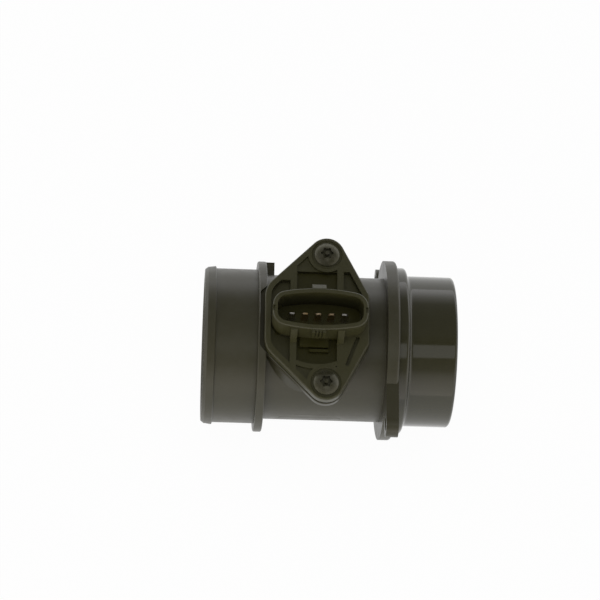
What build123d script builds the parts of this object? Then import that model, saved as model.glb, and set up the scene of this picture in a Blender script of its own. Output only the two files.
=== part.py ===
from build123d import *
import math
import os

# A plug-in air-mass meter: a measuring tube with a hose spigot at its outlet, a two-ear
# flange and a sleeved spigot at its inlet, and a sensor that is pushed into the tube's
# pedestal and held by two screws. All lengths are millimetres.
# X runs along the tube, with the inlet at +X. Z is the direction in which the sensor is
# pulled out. The origin lies on the tube's axis, in the sealing face of the flange.

# Fits
FIT = 0.05  # gap between round faces that fit into each other
LAP = 0.1  # gap around covers and inserts
OVERCUT = 1.0  # how far a cutter runs past the face it opens

# Tube, outside
FLANGE_THICKNESS = 5.15
FLANGE_RIM = 2.8  # how far the flange stands out past the sleeve's bead
FLANGE_ROUNDING = 1.3
MIDDLE_LENGTH = 50.15
MIDDLE_WALL = 3.4
COLLAR_THICKNESS = 3.6
COLLAR_RISE = 3.5  # height above the outlet spigot
COLLAR_ROUNDING = 0.6
OUTLET_LENGTH = 22.3
OUTLET_RADIUS = 32.9
OUTLET_WALL = 2.7
BEAD_LENGTH = 4.7
BEAD_RISE = 0.9
BEAD_LEAD_IN = 1.3
BEAD_TAPER = 0.4
BEAD_BREAK = 0.3
MOUTH_DROP = 0.5
INLET_LENGTH = 23.1
INLET_WALL = 2.0
GRIP_RADIUS = 0.55  # section of the ribs that hold the sleeve
GRIP_PLACES = (8.6, 16.6)

# Tube, inside
MIDDLE_BORE = 27.4
INSERT_STEP = 0.8  # how much wider the bore is where the honeycomb goes in
INSERT_SEAT = 2.0  # shoulder behind the honeycomb, from the sealing face
BORE_FLARE = 12.0
LEAD_IN = 0.8

# Flange ears and the key on the collar
BOLT_CIRCLE = 95.2
EAR_HEIGHT = 23.6
EAR_RADIUS = 5.3
BOLT_HOLE = 5.5
KEY_DEPTH = 3.8
KEY_HALF_WIDTH = 9.4

# Sensor plate, seen along Z, measured from the sensor's own axis
SENSOR_DISTANCE = 34.5  # sensor axis from the sealing face
SEAT_RISE = 1.2  # pedestal face above the middle of the tube
SCREW_OFFSET = 3.7
SCREW_SPACING = 56.9
END_RADIUS = 7.5
OUTLET_EDGE = 22.0
OUTLET_CORNER = 9.2  # half the straight part of the plate's outlet side
OUTLET_CORNER_RADIUS = 10.0
INLET_EDGE = 21.6
INLET_CORNER = 9.6
INLET_CORNER_RADIUS = 4.0
PLATE_THICKNESS = 4.8
PLATE_ROUNDING = 0.8
PLATE_UNDERCUT = 1.2  # bevel along the plate's lower edge, above the pedestal

# Relief in the plate
RELIEF_DEPTH = 3.3
RIM_WIDTH = 2.6
RIB_OFFSET = 9.75
RIB_CENTRE = -0.35
RIB_WIDTH = 2.7
BOSS_RADIUS = 8.0
POCKET_REACH = 20.8
OUTLET_POCKET_REACH = 16.4
TIP_POCKET_DEPTH = 1.2
TIP_POCKET_WALL = 2.0
POCKET_END = 20.6
POCKET_END_RADIUS = 22.0
SLOT_WIDTH = 1.6
SLOT_DEPTH = 2.0
SLOT_REAR_END = (16.7, -8.8)
SLOT_FRONT_END = (12.4, -20.2)
PAD_WIDTH = 12.0
PAD_OFFSET = -1.4
PAD_REACH = 12.7
PAD_DROP = 1.2
PAD_BAR_GAP = 0.9
PAD_BAR_WIDTH = 1.1
PAD_BAR_LENGTH = 8.0

# Pedestal
RIM_LEDGE = 0.2  # how far the pedestal stands out round the plate
RIM_THICKNESS = 2.5
RIM_ROUNDING = 0.5
RIM_OUTLET_EDGE = 23.6  # the rim reaches further than the plate on the outlet side
RIM_OUTLET_CORNER = 10.9
RIM_CORNER_RADIUS = 2.5
PEDESTAL_REACH = 21.7
PEDESTAL_CORNER = 18.0
PEDESTAL_INSET = 1.0
PEDESTAL_DRAFT = 18.0
SCREW_BOSS_TOP = 5.4
SCREW_BOSS_FOOT = 3.9
SCREW_BOSS_LENGTH = 9.5
WEB_THICKNESS = 2.4

# Connector shroud
SHROUD_LENGTH = 39.3
SHROUD_WIDTH = 18.1
SHROUD_SHIFT = 0.6  # the socket lies off the middle contact, for coding
SHROUD_BOW = 73.0
SHROUD_CORNER = 6.0
SHROUD_WALL = 1.9
SHROUD_HEIGHT = 10.2
SHROUD_CHAMFER = 0.35
SOCKET_FLOOR = 33.5
LATCH_WIDTH = 5.8
LATCH_REACH = 2.4
LATCH_HEIGHT = 3.0
LATCH_LAND = 0.2
LATCH_LIP = 0.9
GUIDE_REACH = 1.4
GUIDE_HEIGHT = 7.0
GUIDE_ROUNDING = 0.4
GUIDE_GROOVES = 3
GUIDE_GROOVE = 0.6
GUIDE_GROOVE_PITCH = 1.35
GUIDE_GROOVE_DEPTH = 0.9
GUSSET_REACH = 2.4
GUSSET_DROP = 1.0  # top of the gussets under the shroud's rim
NOTCH_WIDTH = 2.4
NOTCH_DEPTH = 1.6

# Contacts
PITCH = 5.45
CONTACTS = 5
BLADE_WIDTH = 2.8
BLADE_THICKNESS = 0.8
BLADE_TIP = 41.0
BLADE_TAPER = 0.6
BLADE_BEVEL = 0.25
TAIL_PITCH = 4.0
TAIL_WIDTH = 1.6
TAIL_END = 19.8
CRANK_TOP = 30.5
CRANK_FOOT = 26.0

# Neck, seal and opening
OPENING_LENGTH = 34.6
OPENING_WIDTH = 15.0
OPENING_CORNER = 5.5
NECK_GAP = 0.2
NECK_FOOT = 25.6
SEAL_HEIGHT = 29.7
SEAL_GROOVE_WIDTH = 2.6
SEAL_GROOVE_DEPTH = 1.7

# Probe
PROBE_LENGTH = 32.0
PROBE_WIDTH = 12.0
PROBE_FOOT = -14.5
PROBE_EDGE = 3.0
PROBE_WALL = 1.6
COVER_THICKNESS = 1.2
COVER_LAP = 1.0
CHAMBER_INLET_EDGE = 9.2
CHAMBER_FOOT = -2.6
CHAMBER_TOP = 22.5
PARTITION = 1.4
RUN_HEIGHT = 3.6
WEB_BETWEEN_RUNS = 1.4
RETURN_HEIGHT = 3.8
RETURN_END = 6.0
OUTLET_SLOT = 3.6
CARRIER_LEVEL = -0.6
CARRIER_THICKNESS = 1.0
CARRIER_TOP = 19.0
FINGER_WIDTH = 6.0
FINGER_GAP = 0.3
SUBSTRATE_THICKNESS = 0.64
SUBSTRATE_MARGIN = 1.2
CHIP_LENGTH = 4.0
CHIP_WIDTH = 2.6
CHIP_THICKNESS = 0.4

# Air temperature sensor in its window
WINDOW_DEPTH = 3.6
WINDOW_FOOT = 8.0
WINDOW_HEIGHT = 9.0
LEAD_RADIUS = 0.3
LEAD_HOLE_DEPTH = 1.5
THERMISTOR_RADIUS = 1.2
THERMISTOR_LENGTH = 3.4
THERMISTOR_ROUNDING = 1.0

# Screws
HEAD_RADIUS = 5.2
HEAD_HEIGHT = 2.6
HEAD_EDGE = 0.6  # height of the head at its edge, where the dome begins
COUNTERBORE_RADIUS = 6.2
COUNTERBORE_DEPTH = 0.7
COUNTERBORE_BEVEL = 0.3
SHANK_RADIUS = 2.4
SHANK_LENGTH = 14.0
SHANK_TIP = 1.2
SOCKET_RADIUS = 2.1
SOCKET_LOBE = 0.55
SOCKET_DEPTH = 2.0
SOCKET_PIN = 0.8
LOBES = 6

# Honeycomb, screen and snap ring in the inlet
HONEYCOMB_THICKNESS = 8.0
HONEYCOMB_RIM = 1.4
CELL = 6.0  # across the flats
CELL_WALL = 0.6
SCREEN_THICKNESS = 0.5
SCREEN_RIM = 1.5
SCREEN_OPENING = 4.4
SCREEN_BAR = 0.8
SNAP_THICKNESS = 1.2
SNAP_DEPTH = 0.6
SNAP_WIDTH = 1.5
SNAP_GAP_ANGLE = 16.0

# Sealing sleeve
SLEEVE_WALL = 2.0
SLEEVE_BEAD_RISE = 3.4
SLEEVE_BEAD_LENGTH = 4.3
SLEEVE_BEAD_ROUNDING = 1.4
SLEEVE_BEAD_FILLET = 1.6
SLEEVE_LIP = 1.5
SLEEVE_LIP_REACH = 1.3  # how far the lip turns in over the spigot's end
SLEEVE_ROUNDING = 1.4

# Radii and places that follow from the sizes above
MIDDLE_RADIUS = MIDDLE_BORE + MIDDLE_WALL
INSERT_BORE = MIDDLE_BORE + INSERT_STEP
INLET_RADIUS = INSERT_BORE + INLET_WALL
SLEEVE_RADIUS = INLET_RADIUS + SLEEVE_WALL
SLEEVE_BEAD_RADIUS = SLEEVE_RADIUS + SLEEVE_BEAD_RISE
FLANGE_RADIUS = SLEEVE_BEAD_RADIUS + FLANGE_RIM
OUTLET_BORE = OUTLET_RADIUS - OUTLET_WALL
COLLAR_RADIUS = OUTLET_RADIUS + COLLAR_RISE
BEAD_RADIUS = OUTLET_RADIUS + BEAD_RISE
SEAT_HEIGHT = MIDDLE_RADIUS + SEAT_RISE
FLANGE_BACK = -FLANGE_THICKNESS
COLLAR_FACE = FLANGE_BACK - MIDDLE_LENGTH
COLLAR_BACK = COLLAR_FACE - COLLAR_THICKNESS
OUTLET_END = COLLAR_BACK - OUTLET_LENGTH
SENSOR_PLACE = Pos(-SENSOR_DISTANCE, 0, 0)
EAR_REACH = math.sqrt((BOLT_CIRCLE / 2) ** 2 - EAR_HEIGHT**2)
PLATE_TOP = SEAT_HEIGHT + PLATE_THICKNESS
SHROUD_TOP = PLATE_TOP + SHROUD_HEIGHT
HEAD_SEAT = PLATE_TOP - COUNTERBORE_DEPTH
PROBE_HALF = PROBE_WIDTH / 2
PROBE_BACK = PROBE_WALL - PROBE_HALF
COVER_SEAT = PROBE_HALF - COVER_THICKNESS
CHAMBER_OUTLET_EDGE = PROBE_WALL - PROBE_LENGTH / 2
CHAMBER_CENTRE = (CHAMBER_INLET_EDGE + CHAMBER_OUTLET_EDGE) / 2
RUN_TOP = CHAMBER_FOOT - PARTITION
RUN_FOOT = RUN_TOP - RUN_HEIGHT
RETURN_TOP = RUN_FOOT - WEB_BETWEEN_RUNS
RETURN_FOOT = RETURN_TOP - RETURN_HEIGHT
COVER_SPLIT = CHAMBER_FOOT - PARTITION / 2
CARRIER_FRONT = CARRIER_LEVEL + CARRIER_THICKNESS
SCREEN_BACK = INSERT_SEAT + HONEYCOMB_THICKNESS
SNAP_BACK = SCREEN_BACK + SCREEN_THICKNESS


def slab_x(sketch, start, end):
    """Raise a sketch drawn in Y and Z from one X to another."""
    return extrude(Plane.YZ.offset(start) * sketch, amount=end - start)


def slab_y(sketch, start, end):
    """Raise a sketch drawn in X and Z from one Y to another."""
    return extrude(Plane.XZ.offset(-end) * sketch, amount=end - start)


def slab_z(sketch, start, end):
    """Raise a sketch drawn in X and Y from one Z to another."""
    return extrude(Plane.XY.offset(start) * sketch, amount=end - start)


def area(left, right, low, high):
    """A rectangle between two abscissas and two ordinates."""
    centre = Pos((left + right) / 2, (low + high) / 2)
    return centre * Rectangle(right - left, high - low)


def corner(sketch, x, y):
    """The corner of a sketch that lies nearest to a point."""
    return sketch.vertices().sort_by_distance((x, y, 0))[0]


def spun(points, angle=360.0):
    """Turn a closed outline of (x, radius) points round the tube's axis."""
    return revolve(make_face(Polyline(*points, close=True)), Axis.X, angle)


def screw_places():
    """Places of the two screws, in front and behind, in the sensor's own frame."""
    half = SCREW_SPACING / 2
    return Pos(SCREW_OFFSET, -half), Pos(SCREW_OFFSET, half)


def six_sides(grow, outlet_edge, outlet_corner, outlet_radius):
    """The six-sided outline between the two screws, as the hull of six round corners."""
    inlet = INLET_EDGE - INLET_CORNER_RADIUS
    outlet = outlet_radius - outlet_edge
    rounds = [place * Circle(END_RADIUS + grow) for place in screw_places()]
    for side in (-1, 1):
        rounds.append(Pos(inlet, side * INLET_CORNER) * Circle(INLET_CORNER_RADIUS + grow))
        rounds.append(Pos(outlet, side * outlet_corner) * Circle(outlet_radius + grow))
    return make_hull([edge for disc in rounds for edge in disc.edges()])


def plate_outline(grow=0.0):
    """The sensor plate's outline, larger all round by a growth."""
    return six_sides(grow, OUTLET_EDGE, OUTLET_CORNER, OUTLET_CORNER_RADIUS)


def rim_outline(grow=0.0):
    """The pedestal rim's outline, which has sharper corners at its outlet side."""
    grow += RIM_LEDGE
    return six_sides(grow, RIM_OUTLET_EDGE, RIM_OUTLET_CORNER, RIM_CORNER_RADIUS)


def shroud_outline(grow=0.0):
    """The connector shroud's oval: two bowed sides, cut square and rounded at the ends."""
    shift = SHROUD_BOW - SHROUD_WIDTH / 2
    radius = SHROUD_BOW + grow
    lens = (Pos(0, -shift) * Circle(radius)) & (Pos(0, shift) * Circle(radius))
    oval = lens & Rectangle(SHROUD_LENGTH + 2 * grow, SHROUD_LENGTH)
    return Pos(SHROUD_SHIFT, 0) * fillet(oval.vertices(), SHROUD_CORNER + grow)


def opening_outline(inset=0.0):
    """The sensor opening's rounded rectangle, smaller all round by an inset."""
    length = OPENING_LENGTH - 2 * inset
    width = OPENING_WIDTH - 2 * inset
    return RectangleRounded(length, width, OPENING_CORNER - inset)


def outer_tube():
    """The tube's outside as one turned form, from the barbed bead to the inlet's end."""
    bead_end = OUTLET_END + BEAD_LENGTH
    spigot = spun(
        [
            (OUTLET_END, 0),
            (OUTLET_END, OUTLET_RADIUS - MOUTH_DROP),
            (OUTLET_END + BEAD_LEAD_IN, BEAD_RADIUS - BEAD_TAPER),
            (bead_end - BEAD_BREAK, BEAD_RADIUS),
            (bead_end, BEAD_RADIUS - BEAD_BREAK),
            (bead_end, OUTLET_RADIUS),
            (COLLAR_BACK, OUTLET_RADIUS),
            (COLLAR_BACK, 0),
        ]
    )
    collar = slab_x(Circle(COLLAR_RADIUS), COLLAR_BACK, COLLAR_FACE)
    collar = fillet(collar.edges(), COLLAR_ROUNDING)
    middle = slab_x(Circle(MIDDLE_RADIUS), COLLAR_BACK, FLANGE_BACK)
    inlet = slab_x(Circle(INLET_RADIUS), FLANGE_BACK, INLET_LENGTH)
    inlet = chamfer(inlet.edges().sort_by(Axis.X)[-1], LEAD_IN)
    for place in GRIP_PLACES:
        inlet += revolve(Pos(place, INLET_RADIUS) * Circle(GRIP_RADIUS), Axis.X, 360)
    return spigot + collar + middle + inlet


def flange():
    """The mounting flange: a ring with two parallel-sided ears, half a turn apart."""
    disc = slab_x(Circle(FLANGE_RADIUS), FLANGE_BACK, 0)
    disc = fillet(disc.edges().sort_by(Axis.X)[-1], FLANGE_ROUNDING)
    for side in (-1, 1):
        end = Pos(side * EAR_REACH, -side * EAR_HEIGHT)
        root = Pos(side * EAR_REACH / 2, -side * EAR_HEIGHT)
        ear = root * Rectangle(EAR_REACH, 2 * EAR_RADIUS) + end * Circle(EAR_RADIUS)
        disc += slab_x(ear, FLANGE_BACK, 0)
    for side in (-1, 1):
        end = Pos(side * EAR_REACH, -side * EAR_HEIGHT)
        disc -= slab_x(end * Circle(BOLT_HOLE / 2), FLANGE_BACK, 0)
    return disc


def collar_key():
    """The key that stands on the collar's rear, to set the hose's turn."""
    band = Circle(COLLAR_RADIUS) - Circle(MIDDLE_RADIUS - OVERCUT)
    band &= area(0, COLLAR_RADIUS, -KEY_HALF_WIDTH, KEY_HALF_WIDTH)
    return slab_x(band, COLLAR_FACE, COLLAR_FACE + KEY_DEPTH)


def screw_boss(place):
    """One tapered screw boss under the pedestal's rim, with a web towards the tube."""
    top = SEAT_HEIGHT - RIM_THICKNESS
    foot = top - SCREW_BOSS_LENGTH
    wide = Plane.XY.offset(top) * place * Circle(SCREW_BOSS_TOP)
    narrow = Plane.XY.offset(foot) * place * Circle(SCREW_BOSS_FOOT)
    cone = loft([narrow, wide])
    side = math.copysign(1, place.position.Y)
    inner = side * (PEDESTAL_REACH - WEB_THICKNESS)
    outer = place.position.Y
    web = area(
        place.position.X - WEB_THICKNESS / 2,
        place.position.X + WEB_THICKNESS / 2,
        min(inner, outer),
        max(inner, outer),
    )
    return cone + slab_z(web, foot, top)


def pedestal():
    """The pedestal: a flat rim on drafted walls, and the two screw bosses."""
    rim = slab_z(rim_outline(), SEAT_HEIGHT - RIM_THICKNESS, SEAT_HEIGHT)
    rim = fillet(rim.edges().group_by(Axis.Z)[-1], RIM_ROUNDING)
    base = rim_outline(-PEDESTAL_INSET) & Rectangle(2 * MIDDLE_LENGTH, 2 * PEDESTAL_REACH)
    ends = base.vertices().group_by(Axis.Y)
    base = fillet(ends[0] + ends[-1], PEDESTAL_CORNER)
    top = Plane.XY.offset(SEAT_HEIGHT - RIM_THICKNESS)
    walls = extrude(top * base, amount=-SEAT_HEIGHT, taper=-PEDESTAL_DRAFT)
    walls &= Box(2 * MIDDLE_LENGTH, 2 * MIDDLE_RADIUS, 2 * SEAT_HEIGHT)
    bosses = [screw_boss(place) for place in screw_places()]
    return SENSOR_PLACE * (rim + walls + bosses)


def bore():
    """Everything that the air duct takes out of the tube, as one turned form."""
    flare = COLLAR_BACK + BORE_FLARE
    groove = INSERT_BORE + SNAP_DEPTH
    return spun(
        [
            (OUTLET_END - OVERCUT, 0),
            (OUTLET_END - OVERCUT, OUTLET_BORE + LEAD_IN + OVERCUT),
            (OUTLET_END + LEAD_IN, OUTLET_BORE),
            (COLLAR_BACK, OUTLET_BORE),
            (flare, MIDDLE_BORE),
            (INSERT_SEAT, MIDDLE_BORE),
            (INSERT_SEAT, INSERT_BORE),
            (SNAP_BACK, INSERT_BORE),
            (SNAP_BACK, groove),
            (SNAP_BACK + SNAP_THICKNESS + LAP, groove),
            (SNAP_BACK + SNAP_THICKNESS + LAP, INSERT_BORE),
            (INLET_LENGTH - LEAD_IN, INSERT_BORE),
            (INLET_LENGTH + OVERCUT, INSERT_BORE + LEAD_IN + OVERCUT),
            (INLET_LENGTH + OVERCUT, 0),
        ]
    )


def tube_housing():
    """The moulded measuring tube."""
    above = slab_z(rim_outline(), SEAT_HEIGHT, SEAT_HEIGHT + COLLAR_RADIUS)
    tube = outer_tube() - SENSOR_PLACE * above
    tube += pedestal()
    tube += [flange(), collar_key()]
    tube -= SENSOR_PLACE * slab_z(opening_outline(), 0, SEAT_HEIGHT)
    for place in screw_places():
        pilot = place * Circle(SHANK_RADIUS + FIT)
        depth = HEAD_SEAT - SHANK_LENGTH - LAP
        tube -= SENSOR_PLACE * slab_z(pilot, depth, SEAT_HEIGHT)
    return tube - bore()


def sealing_sleeve():
    """The rubber sleeve on the inlet spigot, with its bead against the flange."""
    step = INLET_LENGTH + LAP
    lip = INLET_RADIUS - SLEEVE_LIP_REACH
    end = step + SLEEVE_LIP
    section = area(0, SLEEVE_BEAD_LENGTH, lip, SLEEVE_BEAD_RADIUS)
    section += area(0, end, lip, SLEEVE_RADIUS)
    brow = corner(section, SLEEVE_BEAD_LENGTH, SLEEVE_BEAD_RADIUS)
    section = fillet(brow, SLEEVE_BEAD_ROUNDING)
    foot = corner(section, SLEEVE_BEAD_LENGTH, SLEEVE_RADIUS)
    section = fillet(foot, SLEEVE_BEAD_FILLET)
    section = fillet(corner(section, end, SLEEVE_RADIUS), SLEEVE_ROUNDING)
    section -= area(0, step, 0, INLET_RADIUS + FIT)
    for place in GRIP_PLACES:
        section -= Pos(place, INLET_RADIUS) * Circle(GRIP_RADIUS + FIT)
    return revolve(section, Axis.X, 360)


def flow_straightener():
    """The honeycomb disc that calms the air before the probe."""
    outer = INSERT_BORE - LAP
    disc = Circle(outer) - honeycomb_cells(outer - HONEYCOMB_RIM)
    return slab_x(disc, INSERT_SEAT, INSERT_SEAT + HONEYCOMB_THICKNESS)


def honeycomb_cells(reach):
    """Hexagons in staggered rows, those that fit whole within a radius."""
    pitch = CELL + CELL_WALL
    row = pitch * math.sqrt(3) / 2
    corner = CELL / math.sqrt(3)
    rows = math.ceil(reach / row)
    cells = []
    for j in range(-rows, rows + 1):
        for i in range(-rows - 1, rows + 2):
            y = (i + (j % 2) / 2) * pitch
            z = j * row
            if math.hypot(y, z) + corner < reach:
                cells.append(Pos(y, z) * Rot(0, 0, 30) * RegularPolygon(corner, 6))
    return cells


def wire_screen():
    """The protective screen's disc with its square openings."""
    outer = INSERT_BORE - LAP
    reach = outer - SCREEN_RIM
    pitch = SCREEN_OPENING + SCREEN_BAR
    count = math.ceil(reach / pitch)
    half = SCREEN_OPENING / 2
    holes = []
    for j in range(-count, count + 1):
        for i in range(-count, count + 1):
            if math.hypot(abs(i) * pitch + half, abs(j) * pitch + half) < reach:
                holes.append(Pos(i * pitch, j * pitch) * Rectangle(2 * half, 2 * half))
    return slab_x(Circle(outer) - holes, SCREEN_BACK, SNAP_BACK)


def retaining_ring():
    """The split snap ring that holds the screen and the honeycomb in the bore."""
    outer = INSERT_BORE + SNAP_DEPTH - FIT
    outline = [
        (SNAP_BACK, outer - SNAP_WIDTH),
        (SNAP_BACK, outer),
        (SNAP_BACK + SNAP_THICKNESS, outer),
        (SNAP_BACK + SNAP_THICKNESS, outer - SNAP_WIDTH),
    ]
    return Rot(SNAP_GAP_ANGLE / 2, 0, 0) * spun(outline, 360 - SNAP_GAP_ANGLE)


def pad():
    """Outline of the raised pad in front of the shroud, and of the bar in front of the pad."""
    half = PAD_WIDTH / 2
    field = area(PAD_OFFSET - half, PAD_OFFSET + half, -PAD_REACH, 0)
    front = -PAD_REACH - PAD_BAR_GAP - PAD_BAR_WIDTH
    end = PAD_OFFSET + half
    return field + area(end - PAD_BAR_LENGTH, end, front, front + PAD_BAR_WIDTH)


def relief():
    """The pockets in the top of the sensor plate, as one cutter."""
    field = plate_outline(-RIM_WIDTH) - shroud_outline()
    for place in screw_places():
        field -= place * Circle(BOSS_RADIUS)
    for side in (-1, 1):
        field -= Pos(RIB_CENTRE + side * RIB_OFFSET, 0) * Rectangle(RIB_WIDTH, SCREW_SPACING)
    half = SCREW_SPACING / 2
    left = RIB_CENTRE - RIB_OFFSET + RIB_WIDTH / 2
    right = RIB_CENTRE + RIB_OFFSET - RIB_WIDTH / 2
    rear = field & area(left, INLET_EDGE, 0, POCKET_REACH)
    outlet = field & area(-OUTLET_EDGE, left - RIB_WIDTH, -half, OUTLET_POCKET_REACH)
    middle = field & area(left, right, -half, 0)
    centre = Pos(RIB_CENTRE, POCKET_END_RADIUS - POCKET_END)
    tips = middle - centre * Circle(POCKET_END_RADIUS + TIP_POCKET_WALL)
    tips += field & area(left, right, POCKET_REACH, half)
    middle &= centre * Circle(POCKET_END_RADIUS)
    ends = [Pos(*place) * Circle(SLOT_WIDTH / 2) for place in (SLOT_REAR_END, SLOT_FRONT_END)]
    slot = make_hull([edge for end in ends for edge in end.edges()])
    cut = slab_z(rear + outlet + (middle - pad()), PLATE_TOP - RELIEF_DEPTH, PLATE_TOP)
    cut += slab_z(middle & pad(), PLATE_TOP - PAD_DROP, PLATE_TOP)
    cut += slab_z(tips, PLATE_TOP - TIP_POCKET_DEPTH, PLATE_TOP)
    return cut + slab_z(slot, PLATE_TOP - SLOT_DEPTH, PLATE_TOP)


def guide_block():
    """The grooved block on the shroud's front, which steers the plug's latch."""
    front = -SHROUD_WIDTH / 2 - GUIDE_REACH
    foot = SHROUD_TOP - GUIDE_HEIGHT
    block = area(-LATCH_WIDTH / 2, LATCH_WIDTH / 2, front, 0)
    block = slab_z(block, foot, SHROUD_TOP - SHROUD_CHAMFER)
    low = block.edges().filter_by(Axis.X).group_by(Axis.Z)[0].sort_by(Axis.Y)[0]
    block = fillet(low, GUIDE_ROUNDING)
    groove = area(-GUIDE_GROOVE / 2, GUIDE_GROOVE / 2, front, front + GUIDE_GROOVE_DEPTH)
    for index in range(GUIDE_GROOVES):
        place = (index - (GUIDE_GROOVES - 1) / 2) * GUIDE_GROOVE_PITCH
        block -= slab_z(Pos(place, 0) * groove, foot, SHROUD_TOP)
    return block


def gusset(side):
    """One of the two gussets that join the plate's ribs to the shroud's front."""
    face = -SHROUD_WIDTH / 2
    inner = face + SHROUD_WALL
    foot = face - GUSSET_REACH
    top = SHROUD_TOP - GUSSET_DROP
    slope = Polyline((inner, PLATE_TOP), (foot, PLATE_TOP), (face, top), (inner, top), close=True)
    place = RIB_CENTRE + side * RIB_OFFSET
    return slab_x(make_face(slope), place - RIB_WIDTH / 2, place + RIB_WIDTH / 2)


def latch_ramp():
    """The ramp on the shroud's rear that the plug's latch snaps over."""
    half = SHROUD_WIDTH / 2
    ramp = Polyline(
        (half - SHROUD_WALL, SHROUD_TOP - SHROUD_CHAMFER),
        (half + LATCH_LAND, SHROUD_TOP - SHROUD_CHAMFER),
        (half + LATCH_REACH, SHROUD_TOP - LATCH_HEIGHT + LATCH_LIP),
        (half + LATCH_REACH, SHROUD_TOP - LATCH_HEIGHT),
        (half - SHROUD_WALL, SHROUD_TOP - LATCH_HEIGHT),
        close=True,
    )
    return slab_x(make_face(ramp), -LATCH_WIDTH / 2, LATCH_WIDTH / 2)


def shroud():
    """The connector's wall with all that stands on it, still without its socket."""
    wall = slab_z(shroud_outline(), SEAT_HEIGHT, SHROUD_TOP)
    wall = chamfer(wall.edges().group_by(Axis.Z)[-1], SHROUD_CHAMFER)
    return wall + [guide_block(), latch_ramp(), gusset(-1), gusset(1)]


def end_notches():
    """The small notches in both ends of the shroud's rim."""
    bar = Rectangle(2 * SHROUD_LENGTH, NOTCH_WIDTH)
    bar -= Rectangle(SHROUD_LENGTH - SHROUD_WALL, NOTCH_WIDTH)
    return slab_z(Pos(SHROUD_SHIFT, 0) * bar, SHROUD_TOP - NOTCH_DEPTH, SHROUD_TOP)


def contact_x(index):
    """Place of a contact's blade along X, from the middle of the connector."""
    return (index - (CONTACTS - 1) / 2) * PITCH


def contact_outline(index):
    """A contact seen along Y: blade, crank and tail, cut from one strip."""
    blade = contact_x(index)
    tail = CHAMBER_CENTRE + (index - (CONTACTS - 1) / 2) * TAIL_PITCH
    wide = BLADE_WIDTH / 2
    slim = TAIL_WIDTH / 2
    return Polyline(
        (blade - wide + BLADE_TAPER, BLADE_TIP),
        (blade + wide - BLADE_TAPER, BLADE_TIP),
        (blade + wide, BLADE_TIP - 2 * BLADE_TAPER),
        (blade + wide, CRANK_TOP),
        (tail + slim, CRANK_FOOT),
        (tail + slim, TAIL_END),
        (tail - slim, TAIL_END),
        (tail - slim, CRANK_FOOT),
        (blade - wide, CRANK_TOP),
        (blade - wide, BLADE_TIP - 2 * BLADE_TAPER),
        close=True,
    )


def contact(index):
    """One contact, from its blade in the socket to its tail in the chamber."""
    half = BLADE_THICKNESS / 2
    strip = slab_y(make_face(contact_outline(index)), -half, half)
    tip = strip.faces().sort_by(Axis.Z)[-1]
    return chamfer(tip.edges().filter_by(Axis.X), BLADE_BEVEL)


def chamber():
    """The electronics chamber, open towards +Y, with the ledge for its cover."""
    well = area(CHAMBER_OUTLET_EDGE, CHAMBER_INLET_EDGE, CHAMBER_FOOT, CHAMBER_TOP)
    return slab_y(well, CARRIER_LEVEL, PROBE_HALF) + slab_y(
        electronics_lid(0.0), COVER_SEAT, PROBE_HALF
    )


def electronics_lid(gap):
    """Outline of the electronics cover, smaller all round by a gap."""
    return area(
        CHAMBER_OUTLET_EDGE - COVER_LAP + gap,
        CHAMBER_INLET_EDGE + COVER_LAP - gap,
        COVER_SPLIT + gap,
        CHAMBER_TOP + COVER_LAP - gap,
    )


def channel_lid(gap):
    """Outline of the bypass cover, smaller by a gap except at the probe's nose."""
    return area(
        CHAMBER_OUTLET_EDGE - COVER_LAP + gap,
        PROBE_LENGTH / 2,
        RETURN_FOOT - COVER_LAP + gap,
        COVER_SPLIT - gap,
    )


def bypass():
    """The U-shaped bypass: in at the nose, round its end, back and out behind."""
    turn = (RUN_TOP - RETURN_FOOT) / 2
    middle = (RUN_TOP + RETURN_FOOT) / 2
    centre = CHAMBER_OUTLET_EDGE + turn
    path = area(centre, PROBE_LENGTH / 2 + OVERCUT, RUN_FOOT, RUN_TOP)
    path += area(centre, RETURN_END, RETURN_FOOT, RETURN_TOP)
    bend = Pos(centre, middle) * Circle(turn) & area(centre - turn, centre, RETURN_FOOT, RUN_TOP)
    path += bend - Pos(centre, (RUN_FOOT + RETURN_TOP) / 2) * Circle(WEB_BETWEEN_RUNS / 2)
    duct = slab_y(path, PROBE_BACK, PROBE_HALF)
    way_out = area(RETURN_END - OUTLET_SLOT, RETURN_END, RETURN_FOOT, RETURN_TOP)
    duct += slab_y(way_out, -PROBE_HALF - OVERCUT, PROBE_BACK)
    return duct + slab_y(channel_lid(0.0), COVER_SEAT, PROBE_HALF)


def finger_slot():
    """The slit through the partition for the carrier's finger."""
    half = FINGER_WIDTH / 2
    slit = area(-half - FIT, half + FIT, RUN_TOP, CHAMBER_FOOT)
    return slab_y(slit, CARRIER_LEVEL, CARRIER_FRONT + FIT)


def window():
    """The window in the probe's nose, with the holes for the thermistor's leads."""
    nose = PROBE_LENGTH / 2
    top = WINDOW_FOOT + WINDOW_HEIGHT
    opening = area(nose - WINDOW_DEPTH, nose + OVERCUT, WINDOW_FOOT, top)
    gap = slab_y(opening, -PROBE_WIDTH, PROBE_WIDTH)
    lead = Pos(nose - WINDOW_DEPTH / 2, 0) * Circle(LEAD_RADIUS + FIT)
    return gap + slab_z(lead, WINDOW_FOOT - LEAD_HOLE_DEPTH, top + LEAD_HOLE_DEPTH)


def seal_groove():
    """The groove round the neck that the seal lies in."""
    band = opening_outline() - opening_outline(NECK_GAP + SEAL_GROOVE_DEPTH)
    half = SEAL_GROOVE_WIDTH / 2
    return slab_z(band, SEAL_HEIGHT - half, SEAL_HEIGHT + half)


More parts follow.
